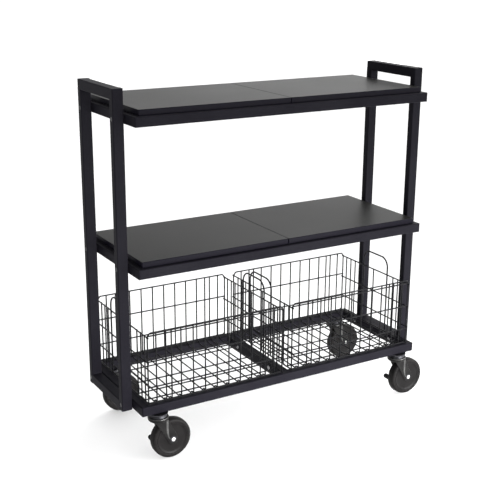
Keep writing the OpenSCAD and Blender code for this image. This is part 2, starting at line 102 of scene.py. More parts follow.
# Casters; sideways distances are from the wheel's middle plane
DISH = 0.0246            # radius of a fork's dish
TRAIL = 0.030            # axle behind the swivel axis
WHEEL = 0.049            # wheel radius, and so the height of the axle
BORE = 0.00405           # radius of the holes in dish and wheel
AXLE = 0.004             # radius of the axle
CHEEK_IN = 0.0135        # inner face of a fork's cheek
CHEEK_OUT = 0.0160       # outer face
LEVER_IN = 0.0165        # inner face of the brake lever
LEVER_OUT = 0.0185       # outer face
LEVER_EYE = 0.0090       # radius of the lever round the axle
LEVER_END = 0.0058       # radius of the lever behind its tip
TIP = 0.0062             # radius of the toe tip
TIP_BACK = 0.005         # tip in front of the swivel axis
TIP_Z = 0.0412           # height of the tip


# ---------- mesh helpers ----------

def mesh_object(name, verts, faces):
    data = bpy.data.meshes.new(name)
    data.from_pydata([tuple(v) for v in verts], [], faces)
    work = bmesh.new()
    work.from_mesh(data)
    bmesh.ops.recalc_face_normals(work, faces=work.faces)
    work.to_mesh(data)
    work.free()
    obj = bpy.data.objects.new(name, data)
    bpy.context.scene.collection.objects.link(obj)
    return obj


class Shape:
    """Collects parts of one piece and turns them into one mesh object."""

    def __init__(self):
        self.verts = []
        self.faces = []
        self.slots = []

    def add(self, verts, faces, slot=0):
        start = len(self.verts)
        self.verts += [Vector(v) for v in verts]
        self.faces += [[start + i for i in face] for face in faces]
        self.slots += [slot] * len(faces)

    def object(self, name, materials, body, replaces=(), sharp=None):
        """The mesh object, smooth on all but flat caps, which have more corners than a quad."""
        obj = mesh_object(name, self.verts, self.faces)
        data = obj.data
        for m in materials:
            data.materials.append(m)
        data.polygons.foreach_set("material_index", self.slots)
        if sharp is not None:
            data.set_sharp_from_angle(angle=math.radians(sharp))
        data.polygons.foreach_set("use_smooth", [len(p.vertices) <= 4 for p in data.polygons])
        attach(obj, body)
        if replaces:
            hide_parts(*replaces)


def skin(shape, verts, columns, slot=0):
    """Quads between closed rows of so many points each, and a flat face on either end."""
    faces = []
    for high in range(columns, len(verts), columns):
        low = high - columns
        for k in range(columns):
            m = (k + 1) % columns
            faces.append([low + k, low + m, high + m, high + k])
    last = len(verts) - columns
    faces += [list(range(columns))[::-1], [last + k for k in range(columns)]]
    shape.add(verts, faces, slot)


def circle_frame(direction, hint):
    """Two unit vectors square to direction, the first as close to hint as it can be."""
    side = hint - direction * hint.dot(direction)
    if side.length < 1e-6:
        side = direction.orthogonal()
    side.normalize()
    return side, direction.cross(side)


def rod(shape, points, radius, sides=14):
    """A wire of round section along points, with domed ends."""
    points = [Vector(p) for p in points]
    rings = []
    hint = Vector((0.0, 0.0, 1.0))
    for i, p in enumerate(points):
        before = points[max(i - 1, 0)]
        after = points[min(i + 1, len(points) - 1)]
        direction = (after - before).normalized()
        u, v = circle_frame(direction, hint)
        hint = u
        rings.append((p, direction, u, v))
    loops = [(rings[0], -along, wide) for along, wide in DOME]
    loops += [(ring, 0.0, 1.0) for ring in rings]
    loops += [(rings[-1], along, wide) for along, wide in DOME[::-1]]
    verts = []
    for (p, direction, u, v), along, wide in loops:
        for k in range(sides):
            a = 2 * math.pi * k / sides
            offset = (u * math.cos(a) + v * math.sin(a)) * radius * wide
            verts.append(p + direction * along * radius + offset)
    skin(shape, verts, sides)


def fillet(points, radius, steps):
    """The open polyline with each inner corner rounded to radius."""
    points = [Vector(p) for p in points]
    out = [points[0]]
    for before, p, after in zip(points, points[1:], points[2:]):
        a = (before - p).normalized()
        b = (after - p).normalized()
        half = a.angle(b) / 2
        reach = radius / math.tan(half)
        centre = p + (a + b).normalized() * (radius / math.sin(half))
        start = (p + a * reach - centre).normalized()
        end = (p + b * reach - centre).normalized()
        for k in range(steps + 1):
            out.append(centre + start.slerp(end, k / steps) * radius)
    return out + [points[-1]]


def lathe(shape, profile, centre, axis, segments, slot=0):
    """Turns the closed profile, a list of (radius, along), about an axis through centre."""
    turn = {"X": Matrix.Rotation(math.pi / 2, 3, "Y"),
            "Y": Matrix.Rotation(-math.pi / 2, 3, "X"),
            "Z": Matrix.Identity(3)}[axis]
    verts, faces = [], []
    for k in range(segments):
        a = 2 * math.pi * k / segments
        for r, along in profile:
            verts.append(turn @ Vector((r * math.cos(a), r * math.sin(a), along)) + Vector(centre))
    n = len(profile)
    on_axis = [r < 1e-9 for r, along in profile]
    for k in range(segments):
        m = (k + 1) % segments
        for i in range(n):
            j = (i + 1) % n
            if on_axis[i] and on_axis[j]:
                continue
            if on_axis[i]:
                faces.append([k * n + i, m * n + j, k * n + j])
            elif on_axis[j]:
                faces.append([k * n + i, m * n + i, k * n + j])
            else:
                faces.append([k * n + i, m * n + i, m * n + j, k * n + j])
    shape.add(verts, faces, slot)


def facing(profile, outward):
    """A lathe profile turned round where outward is -1."""
    return [(r, outward * along) for r, along in profile]


def arc(cx, cy, radius, start, end, steps):
    """Points (x, y) on a circle from start to end degrees."""
    out = []
    for k in range(steps + 1):
        a = math.radians(start + (end - start) * k / steps)
        out.append((cx + radius * math.cos(a), cy + radius * math.sin(a)))
    return out


def bead(shape, centre, radii, segments=8, rings=4):
    """A small ellipsoid, such as a spot weld."""
    centre = Vector(centre)
    wide, deep, high = radii
    verts = [centre + Vector((0, 0, high))]
    for i in range(1, rings):
        a = math.pi * i / rings
        for k in range(segments):
            b = 2 * math.pi * k / segments
            verts.append(centre + Vector((wide * math.sin(a) * math.cos(b),
                                          deep * math.sin(a) * math.sin(b),
                                          high * math.cos(a))))
    verts.append(centre - Vector((0, 0, high)))
    faces = [[0, 1 + k, 1 + (k + 1) % segments] for k in range(segments)]
    for i in range(rings - 2):
        a, b = 1 + i * segments, 1 + (i + 1) * segments
        for k in range(segments):
            m = (k + 1) % segments
            faces.append([a + k, b + k, b + m, a + m])
    last = 1 + (rings - 2) * segments
    end = len(verts) - 1
    faces += [[last + (k + 1) % segments, last + k, end] for k in range(segments)]
    shape.add(verts, faces)


def prism(shape, section, start, end):
    """A straight bar: section is a list of points, start and end are offsets along it."""
    verts = [Vector(p) + Vector(offset) for offset in (start, end) for p in section]
    skin(shape, verts, len(section))


def inset(outline, amount):
    """The closed outline drawn in by amount; outline runs anticlockwise."""
    out = []
    for i, (x, y) in enumerate(outline):
        ax, ay = outline[i - 1]
        bx, by = outline[(i + 1) % len(outline)]
        before = Vector((x - ax, y - ay)).normalized()
        after = Vector((bx - x, by - y)).normalized()
        normal = Vector((-before.y - after.y, before.x + after.x)).normalized()
        share = normal.dot(Vector((-before.y, before.x)))
        out.append((x + normal.x * amount / share, y + normal.y * amount / share))
    return out


def plate(shape, outline, near, far, place, ease, slot=0):
    """A plate with eased edges; place(u, v, w) turns outline and depth into a point."""
    steps = 3
    levels = []
    for k in range(steps + 1):
        a = math.pi / 2 * k / steps
        levels.append((near + ease * (1 - math.sin(a)), ease * (1 - math.cos(a))))
    levels = levels[::-1]
    levels += [(far - (depth - near), back) for depth, back in levels[::-1]]
    verts = []
    for depth, back in levels:
        verts += [place(u, v, depth) for u, v in inset(outline, back)]
    skin(shape, verts, len(outline), slot)


# ---------- materials ----------

class Look:
    """A principled material with a few helpers for procedural detail."""

    def __init__(self, name, **fixed):
        self.material = bpy.data.materials.new(name)
        self.material.use_nodes = True
        self.nodes = self.material.node_tree.nodes
        self.links = self.material.node_tree.links
        self.shader = self.nodes["Principled BSDF"]
        for key, value in fixed.items():
            self.shader.inputs[key.replace("_", " ")].default_value = value
        self.coords = self.nodes.new("ShaderNodeTexCoord").outputs["Object"]

    def noise(self, scale, detail=3.0, roughness=0.5, stretch=None):
        """Noise fixed to the piece; scale is in cells per metre."""
        node = self.nodes.new("ShaderNodeTexNoise")
        node.inputs["Scale"].default_value = scale
        node.inputs["Detail"].default_value = detail
        node.inputs["Roughness"].default_value = roughness
        source = self.coords
        if stretch is not None:
            mapping = self.nodes.new("ShaderNodeMapping")
            mapping.inputs["Scale"].default_value = stretch
            self.links.new(source, mapping.inputs["Vector"])
            source = mapping.outputs["Vector"]
        self.links.new(source, node.inputs["Vector"])
        return node.outputs["Fac"]

    def ramp(self, value, start, dark, end, light):
        """Colour from dark to light as value goes from start to end."""
        node = self.nodes.new("ShaderNodeValToRGB")
        for element, at, colour in zip(node.color_ramp.elements, (start, end), (dark, light)):
            element.position = at
            element.color = (*colour, 1.0)
        self.links.new(value, node.inputs["Fac"])
        return node.outputs["Color"]

    def spread(self, value, low, high, start=0.35, end=0.65):
        """A number from low to high as value goes from start to end."""
        node = self.nodes.new("ShaderNodeMapRange")
        node.inputs["From Min"].default_value = start
        node.inputs["From Max"].default_value = end
        node.inputs["To Min"].default_value = low
        node.inputs["To Max"].default_value = high
        self.links.new(value, node.inputs["Value"])
        return node.outputs["Result"]

    def maths(self, kind, *values):
        node = self.nodes.new("ShaderNodeMath")
        node.operation = kind
        for socket, value in zip(node.inputs, values):
            if isinstance(value, (int, float)):
                socket.default_value = value
            else:
                self.links.new(value, socket)
        return node.outputs["Value"]

    def mix(self, factor, first, second):
        node = self.nodes.new("ShaderNodeMix")
        node.data_type = "RGBA"
        self.links.new(factor, node.inputs["Factor"])
        for socket, value in ((node.inputs["A"], first), (node.inputs["B"], second)):
            if isinstance(value, tuple):
                socket.default_value = (*value, 1.0)
            else:
                self.links.new(value, socket)
        return node.outputs["Result"]

    def bump(self, height, strength, distance):
        """Adds a bump on top of those already there."""
        node = self.nodes.new("ShaderNodeBump")
        node.inputs["Strength"].default_value = strength
        node.inputs["Distance"].default_value = distance
        self.links.new(height, node.inputs["Height"])
        previous = self.shader.inputs["Normal"]
        if previous.is_linked:
            self.links.new(previous.links[0].from_socket, node.inputs["Normal"])
        self.links.new(node.outputs["Normal"], previous)

    def set(self, name, output):
        self.links.new(output, self.shader.inputs[name])


def powder_coat(name, dark, light):
    look = Look(name, Specular_IOR_Level=0.03)
    cloud = look.noise(9.0, 4.0)
    speck = look.noise(900.0, 2.0)
    share = 0.55     # of the cloud against the speck
    both = look.maths("ADD", look.maths("MULTIPLY", cloud, share),
                      look.maths("MULTIPLY", speck, 1 - share))
    look.set("Base Color", look.ramp(both, 0.40, dark, 0.60, light))
    look.set("Roughness", look.spread(both, 0.46, 0.58))
    look.bump(look.noise(1500.0, 2.0), 0.35, 0.00008)
    return look.material


def laminate(name):
    """Dark board: a fine woven emboss on the top face, plain near-black edges."""
    look = Look(name, Specular_IOR_Level=0.06)
    weave = 0.0022
    separate = look.nodes.new("ShaderNodeSeparateXYZ")
    look.links.new(look.coords, separate.inputs["Vector"])
    x = look.maths("MULTIPLY", separate.outputs["X"], math.pi / weave)
    y = look.maths("MULTIPLY", separate.outputs["Y"], math.pi / weave)
    warp = look.maths("SINE", look.maths("ADD", x, y))
    weft = look.maths("SINE", look.maths("SUBTRACT", x, y))
    cells = look.maths("MULTIPLY", warp, weft)
    normal = look.nodes.new("ShaderNodeNewGeometry")
    parts = look.nodes.new("ShaderNodeSeparateXYZ")
    look.links.new(normal.outputs["Normal"], parts.inputs["Vector"])
    up = look.spread(parts.outputs["Z"], 0.0, 1.0, 0.8, 0.95)
    cloud = look.noise(2.5)
    fine = look.noise(700.0, 2.0)
    top = look.ramp(cloud, 0.30, (0.0125, 0.0125, 0.0118), 0.70, (0.0145, 0.0145, 0.0138))
    edge = look.ramp(fine, 0.35, (0.0035, 0.0028, 0.0068), 0.65, (0.0055, 0.0048, 0.0095))
    look.set("Base Color", look.mix(up, edge, top))
    rough = look.maths("ADD", look.spread(cloud, 0.42, 0.45), look.maths("MULTIPLY", cells, 0.03))
    look.set("Roughness", rough)
    look.bump(look.maths("MULTIPLY", look.maths("MULTIPLY", cells, up), 0.5), 0.5, 0.00010)
    look.bump(fine, 0.15, 0.00004)
    return look.material


def coated_wire(name, dark, light):
    look = Look(name, Specular_IOR_Level=0.08)
    cloud = look.noise(60.0)
    look.set("Base Color", look.ramp(cloud, 0.35, dark, 0.65, light))
    look.set("Roughness", look.spread(cloud, 0.34, 0.46))
    look.bump(look.noise(1200.0, 2.0), 0.25, 0.00005)
    return look.material


def steel(name, dark, light, rough):
    look = Look(name, Metallic=1.0)
    grain = look.noise(900.0, 3.0, 0.6)
    look.set("Base Color", look.ramp(grain, 0.35, dark, 0.65, light))
    look.set("Roughness", look.spread(grain, *rough))
    look.bump(grain, 0.15, 0.00004)
    return look.material


def lacquered(name, dark, light, metal, rough):
    """Thin dark lacquer over stamped steel."""
    look = Look(name, Metallic=metal, Specular_IOR_Level=0.12)
    look.set("Base Color", look.ramp(look.noise(45.0, 4.0), 0.35, dark, 0.65, light))
    look.set("Roughness", look.spread(look.noise(400.0), *rough))
    look.bump(look.noise(1100.0, 2.0), 0.2, 0.00005)
    return look.material


def moulded(name, dark, light, rough, painted_sheen=0.0):
    """Plastic or rubber; the last argument sets how strongly pale patches show, a painted sheen standing
    in for mottled highlights.
    """
    look = Look(name, Specular_IOR_Level=0.08)
    cloud = look.noise(35.0, 5.0, 0.6)
    colour = look.ramp(cloud, 0.32, dark, 0.68, light)
    if painted_sheen:
        # pale patches mixed into the colour: a painted sheen, not wear
        sheen_patches = look.spread(look.noise(220.0, 6.0, 0.7, (1.0, 0.25, 1.0)), 0.0, painted_sheen, 0.58, 0.72)
        colour = look.mix(sheen_patches, colour, (0.16, 0.155, 0.15))
    look.set("Base Color", colour)
    look.set("Roughness", look.spread(cloud, *rough))
    look.bump(look.noise(1600.0, 2.0), 0.22, 0.00005)
    look.bump(look.noise(90.0, 2.0), 0.10, 0.0003)
    return look.material


NEAR_BLACK = ((0.004, 0.004, 0.005), (0.008, 0.008, 0.009))
FRAME_PAINT = powder_coat("frame_powder_coat", (0.0078, 0.0072, 0.0104), (0.0118, 0.0112, 0.0148))
FORK_PAINT = lacquered("fork_paint", (0.0060, 0.0058, 0.0058), (0.0110, 0.0106, 0.0104), 0.15,
                       (0.32, 0.42))
# A paler, more metallic copy of the fork's lacquer for the dish lip and the ribs: a painted highlight
# standing in for the glints along these edges.
FORK_HIGHLIGHT = lacquered("fork_edge_painted_highlight", (0.075, 0.075, 0.075), (0.13, 0.13, 0.127), 0.8, (0.26, 0.36))
BOARD = laminate("shelf_laminate")
WIRE_COAT = coated_wire("basket_wire_coat", *NEAR_BLACK)
WIRE_END = steel("cut_wire", (0.20, 0.20, 0.20), (0.42, 0.42, 0.41), (0.34, 0.46))
DARK_STEEL = steel("blackened_steel", (0.030, 0.030, 0.034), (0.060, 0.060, 0.066), (0.34, 0.46))
BRIGHT_STEEL = steel("zinc_plate", (0.80, 0.80, 0.77), (0.92, 0.92, 0.90), (0.26, 0.38))
BOLT_STEEL = steel("bolt_steel", (0.055, 0.055, 0.058), (0.105, 0.105, 0.110), (0.34, 0.46))
BOLT_RING = moulded("bolt_ring", *NEAR_BLACK, (0.5, 0.62))
WHEEL_CORE = moulded("wheel_core", (0.0060, 0.0055, 0.0056), (0.0100, 0.0092, 0.0093), (0.38, 0.50))
# the tread's last argument paints pale patches, a painted sheen for its mottled highlights
WHEEL_TREAD = moulded("wheel_tread", (0.0062, 0.0056, 0.0056), (0.0105, 0.0096, 0.0096), (0.46, 0.60),
                      0.15)
LEVER_TIP = moulded("lever_tip", *NEAR_BLACK, (0.36, 0.48))
PLUG = moulded("rail_plug", (0.20, 0.20, 0.205), (0.27, 0.27, 0.275), (0.38, 0.5))


def cad_finishes():
    """A finish on every CAD node, by its material slot in the record."""
    looks = {"frame_paint": FRAME_PAINT, "shelf_panel": BOARD, "basket_wire": WIRE_COAT,
             "fastener_steel": DARK_STEEL, "caster_steel": DARK_STEEL, "axle_steel": BRIGHT_STEEL,
             "fork_paint": FORK_PAINT, "wheel_plastic": WHEEL_CORE, "brake_plastic": LEVER_TIP,
             "plug_plastic": PLUG}
    for part in frame["record"]["subparts"]:
        obj = frame["nodes"][part["node"]]
        slot = part["material_slot"]
        obj.data.materials.clear()
        obj.data.materials.append(looks[slot])


# ---------- baskets ----------

def long_wires():
    """Where a long wall's uprights stand; the fourth place each way holds two."""
    single = [i * PITCH for i in range(-OUTER, OUTER + 1) if abs(i) != PAIRED]
    return single + [s * PAIRED * PITCH + t * PAIR / 2 for s in (-1, 1) for t in (-1, 1)]


def basket(side):
    front_lo, front_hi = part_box(f"{side}_basket_front")
    back_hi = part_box(f"{side}_basket_back")[1]
    side_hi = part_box(f"{side}_basket_outer_side")[1]
    centre = (front_lo.x + front_hi.x) / 2
    half_x = (front_hi.x - front_lo.x) / 2 - WELD
    half_y = (back_hi.y - front_lo.y) / 2 - STUB
    front_top = front_hi.z - WIRE - BULGE
    back_top = back_hi.z - WIRE - BULGE
    side_top = side_hi.z - WIRE
    body = f"{side}_basket"

    def place(x, y, z):
        return Vector((centre + x, y, z))

    def along(shape, y, z, past=0.0):
        """A straight wire along a long wall."""
        rod(shape, [place(-half_x - past, y, z), place(half_x + past, y, z)], WIRE)

    def across(shape, x, z):
        """A straight wire along a short wall, standing out past its corners."""
        reach = half_y + STUB - NUDGE
        rod(shape, [place(x, -reach, z), place(x, reach, z)], WIRE)

    def bent(shape, y, top, end_z):
        """A top wire, its ends bent down to the corners."""
        path = [place(-half_x, y, end_z), place(DIP - half_x, y, top),
                place(half_x - DIP, y, top), place(half_x, y, end_z)]
        rod(shape, fillet(path, DIP, 5), WIRE)

    # wires along the four walls
    rings = Shape()
    for y, heights in ((-half_y, FRONT_RINGS), (half_y, BACK_RINGS)):
        for z in heights:
            along(rings, y, z, NUDGE)
    for x in (-half_x, half_x):
        for z in SIDE_RINGS:
            across(rings, x, z)
            for y in (-half_y, half_y):
                bead(rings, place(x, y, z), CORNER_WELD, *FINE)
    rings.object(f"{side}_basket_rings", [WIRE_COAT], body,
                 [f"{side}_basket_outer_side", f"{side}_basket_inner_side"])

    rim = Shape()
    along(rim, -half_y, FRONT_RIM)
    bent(rim, -half_y, front_top, FRONT_RIM)
    bent(rim, half_y, back_top, side_top)
    for x in (-half_x, half_x):
        across(rim, x, side_top)
        for y in (-half_y, half_y):
            bead(rim, place(x, y, side_top), RIM_WELD, *FINE)
    rim.object(f"{side}_basket_rim", [WIRE_COAT], body)

    # bright cut ends of the short walls' wires
    ends = Shape()
    cap = [(0.0, -0.0010), (WIRE * 0.60, -0.0010), (WIRE * 0.80, -0.0004), (WIRE * 0.62, 0.0),
           (0.0, 0.0001)]
    cap_y = half_y + STUB - 0.0001
    for x in (-half_x, half_x):
        for t in (-1, 1):
            for z in SIDE_RINGS + (side_top,):
                lathe(ends, facing(cap, t), (centre + x, t * cap_y, z), "Y", 20)
    ends.object(f"{side}_basket_wire_ends", [WIRE_END], body, sharp=40)

    # wires bent to a U: down the front wall, over the rail, across the floor, up the back
    hoops = Shape()
    wall, step, foot = half_y - TUCK, half_y - STEP_IN, half_y - FOOT_IN
    for x in long_wires():
        path = [place(x, -wall, front_top), place(x, -wall, BASE_Z), place(x, -step, BASE_Z - SETTLE),
                place(x, -foot, FLOOR_Z), place(x, foot, FLOOR_Z), place(x, step, BASE_Z - SETTLE),
                place(x, wall, BASE_Z), place(x, wall, back_top)]
        rod(hoops, fillet(path, FLOOR_BEND, 4), WIRE)
        for y in FLOOR_WIRES:
            bead(hoops, place(x, y, FLOOR_Z - NUDGE), FLOOR_WELD)
        for s, heights in ((-1, FRONT_RINGS), (1, BACK_RINGS)):
            for z in heights[1:]:
                bead(hoops, place(x, s * (half_y - NUDGE), z), LONG_WELD)
    hoops.object(f"{side}_basket_hoops", [WIRE_COAT], body,
                 replaces=[f"{side}_basket_front", f"{side}_basket_back", f"{side}_basket_floor"])

    # floor wires along the basket, their ends turned up to the lowest ring
    runners = Shape()
    end_x, up_x = half_x - TURN_UP, half_x - WIRE - SETTLE
    low, up_z = FLOOR_Z - TUCK, BASE_Z - LAP
    for y in FLOOR_WIRES:
        path = [place(-up_x, y, up_z), place(-end_x, y, low),
                place(end_x, y, low), place(up_x, y, up_z)]
        rod(runners, fillet(path, FLOOR_BEND, 4), WIRE)
    runners.object(f"{side}_basket_runners", [WIRE_COAT], body)

    # uprights of the short walls and the four corners
    uprights = Shape()
    foot_z = BASE_Z - NUDGE
    for s in (-1, 1):
        x = s * (half_x - TUCK)
        for y in SIDE_WIRES:
            rod(uprights, [place(x, y, foot_z), place(x, y, side_top)], WIRE)
            for z in SIDE_RINGS:
                bead(uprights, place(s * (half_x - NUDGE), y, z), SHORT_WELD)
        for y, top in ((-half_y, FRONT_RIM), (half_y, side_top)):
            rod(uprights, [place(s * half_x, y, foot_z), place(s * half_x, y, top)], CORNER)
    uprights.object(f"{side}_basket_uprights", [WIRE_COAT], body)

    # arch handles, welded outside the short walls
    lo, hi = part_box(f"{side}_basket_handles")
    leg = (hi.y - lo.y) / 2 - ARCH
    arch_x = (hi.x - lo.x) / 2 - ARCH
    leg_z = lo.z + NUDGE
    bend_y, bend_z = leg - ARCH_BEND, hi.z - ARCH - ARCH_BEND
    outline = [(-leg, leg_z), (-leg, bend_z)]
    outline += arc(-bend_y, bend_z, ARCH_BEND, 180, 90, 12)[1:]
    outline += arc(bend_y, bend_z, ARCH_BEND, 90, 0, 12) + [(leg, leg_z)]
    handles = Shape()
    for s in (-1, 1):
        rod(handles, [place(s * arch_x, y, z) for y, z in outline], ARCH, sides=16)
        for y in (-leg, leg):
            for z in SIDE_RINGS[1:]:
                bead(handles, place(s * (arch_x - ARCH), y, z), LEG_WELD)
            bead(handles, place(s * (arch_x - ARCH), y, side_top), LEG_TOP_WELD)
    handles.object(f"{side}_basket_arches", [WIRE_COAT], body,
                   replaces=[f"{side}_basket_handles"])


# ---------- welds, bolt heads and panels ----------

def corner_strip(shape, corner, along_a, along_b, half_length, radius):
    """A concave weld in an inside corner, running square to both directions."""
    corner, a, b = Vector(corner), Vector(along_a), Vector(along_b)
    sink = 0.0003
    steps = 8
    section = [corner - (a + b) * sink, corner + a * radius - b * sink]
    for k in range(steps + 1):
        t = math.pi / 2 * k / steps
        section.append(corner + a * radius * (1 - math.sin(t)) + b * radius * (1 - math.cos(t)))
    section.append(corner + b * radius - a * sink)
    run = a.cross(b).normalized() * half_length
    prism(shape, section, -run, run)


def end_frame_welds():
    """Fillets inside the end frames and the ground-off butt welds over their joints."""
    welds = Shape()
    for side in SIDES:
        for part, up in (("handle_bar", -1), ("bottom_bar", 1)):
            lo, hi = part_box(f"{side}_{part}")
            middle = (lo.x + hi.x) / 2
            half = (hi.x - lo.x) / 2 - TUBE_ROUND
            z = lo.z if up < 0 else hi.z
            foot = lo.z + TUBE_ROUND
            for s, y in ((1, lo.y), (-1, hi.y)):
                corner_strip(welds, (middle, y, z), (0, s, 0), (0, 0, up), half, END_FILLET)
                past = y - s * TUBE_ROUND
                for face, outward in ((lo.x, -1), (hi.x, 1)):
                    skin = face - outward * SKIN
                    deep = face - outward * TUBE_ROUND
                    section = [(skin, y, foot), (skin, past, foot), (deep, past, foot), (deep, y, foot)]
                    prism(welds, section, (0, 0, 0), (0, 0, hi.z - lo.z - 2 * TUBE_ROUND))
    welds.object("end_frame_welds", [FRAME_PAINT], "cart", sharp=35)


def shelf_frame_welds():
    """Fillets in the eight inside corners of each shelf frame."""
    welds = Shape()
    for level in ("top", "middle", "bottom"):
        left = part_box(f"{level}_left_rail")[1].x
        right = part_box(f"{level}_right_rail")[0].x
        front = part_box(f"{level}_front_rail")[1].y
        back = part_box(f"{level}_back_rail")[0].y
        bar_lo, bar_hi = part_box(f"{level}_cross_bar")
        z = (bar_lo.z + bar_hi.z) / 2
        half = (bar_hi.z - bar_lo.z) / 2 - TUBE_ROUND
        for y, s in ((front, 1), (back, -1)):
            for x, t in ((left, 1), (bar_lo.x, -1), (bar_hi.x, 1), (right, -1)):
                corner_strip(welds, (x, y, z), (t, 0, 0), (0, s, 0), half, SHELF_FILLET)
    welds.object("shelf_frame_welds", [FRAME_PAINT], "cart", sharp=35)


def bolt_heads():
    """Countersunk socket heads in dark rings, flush in the uprights' outer faces."""
    ring = [(0.0045, -0.0010), (0.0061, -0.0010), (0.0061, -0.0003), (0.0059, -0.0001),
            (0.0047, -0.0001)]
    head = [(0.0, -0.0032), (0.0023, -0.0032), (0.0023, -0.0006), (0.0028, 0.0), (0.0042, 0.0),
            (0.0046, -0.0003), (0.0046, -0.0036), (0.0, -0.0036)]
    shank = [(0.0, -0.0010), (0.0056, -0.0010), (0.0030, -0.0036), (0.0030, -0.0380), (0.0, -0.0380)]
    lo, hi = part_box("frame_bolts")
    y = hi.y - BOLT_INSET
    heads = Shape()
    for outward, face in ((-1, lo.x), (1, hi.x)):
        for level in ("top", "middle", "bottom"):
            rail_lo, rail_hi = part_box(f"{level}_left_rail")
            z = (rail_lo.z + rail_hi.z) / 2
            for centre in ((face, -y, z), (face, y, z)):
                lathe(heads, facing(ring, outward), centre, "X", 40, 1)
                lathe(heads, facing(head, outward), centre, "X", 40, 0)
                lathe(heads, facing(shank, outward), centre, "X", 32, 0)
    heads.object("frame_bolt_heads", [BOLT_STEEL, BOLT_RING], "cart",
                 ["frame_bolts"], sharp=35)


def panels():
    """Shelf boards with eased edges and an edge band set just back from both faces."""
    edge = [(0.0, 0.0012), (0.0002, 0.0005), (0.0006, 0.0001), (0.0010, 0.0), (0.0012, 0.00015),
            (0.0014, 0.0)]    # (height, set back) from a face inward
    for level in ("top", "middle"):
        for side in SIDES:
            node = f"{level}_{side}_panel"
            lo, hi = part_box(node)
            middle = (lo + hi) / 2
            half = (hi - lo) / 2
            outline = []
            for sx, sy, start in ((1, 1, 0), (-1, 1, 90), (-1, -1, 180), (1, -1, 270)):
                outline += arc(sx * (half.x - PANEL_CORNER), sy * (half.y - PANEL_CORNER), PANEL_CORNER,
                               start, start + 90, 6)
            rows = [(lo.z + z, back) for z, back in edge] + [(hi.z - z, back) for z, back in edge[::-1]]
            verts = []
            for z, back in rows:
                verts += [(middle.x + x, middle.y + y, z) for x, y in inset(outline, back)]
            board = Shape()
            skin(board, verts, len(outline))
            board.object(f"{node}_board", [BOARD], "cart", [node], sharp=30)


# ---------- casters ----------

def caster_fork(corner, swivel_x, swivel_y):
    """Stamped fork: raceway dish with a rolled lip, two cheeks, an upright rib on each; lip and ribs
    carry a paler, more metallic copy of the fork's paint, a painted highlight.
    """
    shape = Shape()
    dish = [(BORE, 0.1000), (0.0190, 0.1000), (0.0214, 0.1003), (0.0232, 0.1014), (0.0243, 0.1032),
            (DISH, 0.1052), (DISH, 0.1082), (0.0238, 0.1080), (0.0222, 0.1080), (0.0217, 0.1070),
            (0.0216, 0.1044), (0.0208, 0.1034), (0.0190, 0.1032), (BORE, 0.1032)]
    lathe(shape, dish, (swivel_x, swivel_y, 0), "Z", 72)
    # the rolled lip takes the paler copy of the fork's paint, a painted highlight
    lip = arc(0.0231, 0.1083, 0.0013, 0, 360, 16)[:-1]
    lathe(shape, lip, (swivel_x, swivel_y, 0), "Z", 72, 1)
    cheek = [(-0.0145, 0.1022), (-0.0145, 0.1003), (-0.0120, 0.0974), (0.0020, 0.0738), (0.0155, 0.0512)]
    cheek += arc(TRAIL, WHEEL, 0.012, 205, 390, 24)
    cheek += [(0.0375, 0.0635), (0.0292, 0.0770), (0.0212, 0.0955), (0.0195, 0.1000), (0.0192, 0.1022)]
    rib = [(0.0157, 0.1012, 0.0028), (0.0154, 0.0950, 0.0028), (0.0153, 0.0820, 0.0027),
           (0.0158, 0.0700, 0.0025), (0.0172, 0.0610, 0.0021), (0.0196, 0.0545, 0.0015),
           (0.0214, 0.0515, 0.0008)]    # (along, height, half width)
    across = 9                          # points across the rib's crown
    crown, rise = 0.0157, 0.0016        # where the rib's foot lies, and how far it stands up
    for s in (-1, 1):
        def place(u, v, w, s=s):
            return Vector((swivel_x + u, swivel_y + s * w, v))

        plate(shape, cheek, CHEEK_IN, CHEEK_OUT, place, 0.0007)
        verts = []
        for u, v, half in rib:
            for k in range(across):
                a = math.pi * k / (across - 1)
                verts.append(place(u - half * math.cos(a), v, crown + rise * math.sin(a)))
        # the ribs take the paler copy too, a painted highlight along the crease
        skin(shape, verts, across, 1)
    shape.object(f"{corner}_caster_fork", [FORK_PAINT, FORK_HIGHLIGHT], f"{corner}_caster",
                 [f"{corner}_fork"], sharp=40)


def caster_wheel(corner, centre):
    """Moulded wheel: long hub, recessed web, raised ring and a crowned tread."""
    shape = Shape()
    core = [(BORE, 0.0130), (0.0086, 0.0130), (0.0092, 0.0124), (0.0100, 0.0112), (0.0120, 0.0104),
            (0.0160, 0.0101), (0.0310, 0.0101), (0.0345, 0.0106), (0.0362, 0.0117), (0.0372, 0.0120),
            (0.0386, 0.0120), (0.0392, 0.0114)]
    tread = [(0.0392, 0.0113), (0.0396, 0.0118), (0.0405, 0.0120), (0.0436, 0.0119), (0.0458, 0.0112),
             (0.0474, 0.0098), (0.0484, 0.0078), (0.0489, 0.0050), (WHEEL, 0.0018)]
    for slot, half in enumerate((core, tread)):
        lathe(shape, half + facing(half[::-1], -1), centre, "Y", 96, slot)
    shape.object(f"{corner}_caster_wheel", [WHEEL_CORE, WHEEL_TREAD], f"{corner}_roller",
                 [f"{corner}_wheel"], sharp=40)


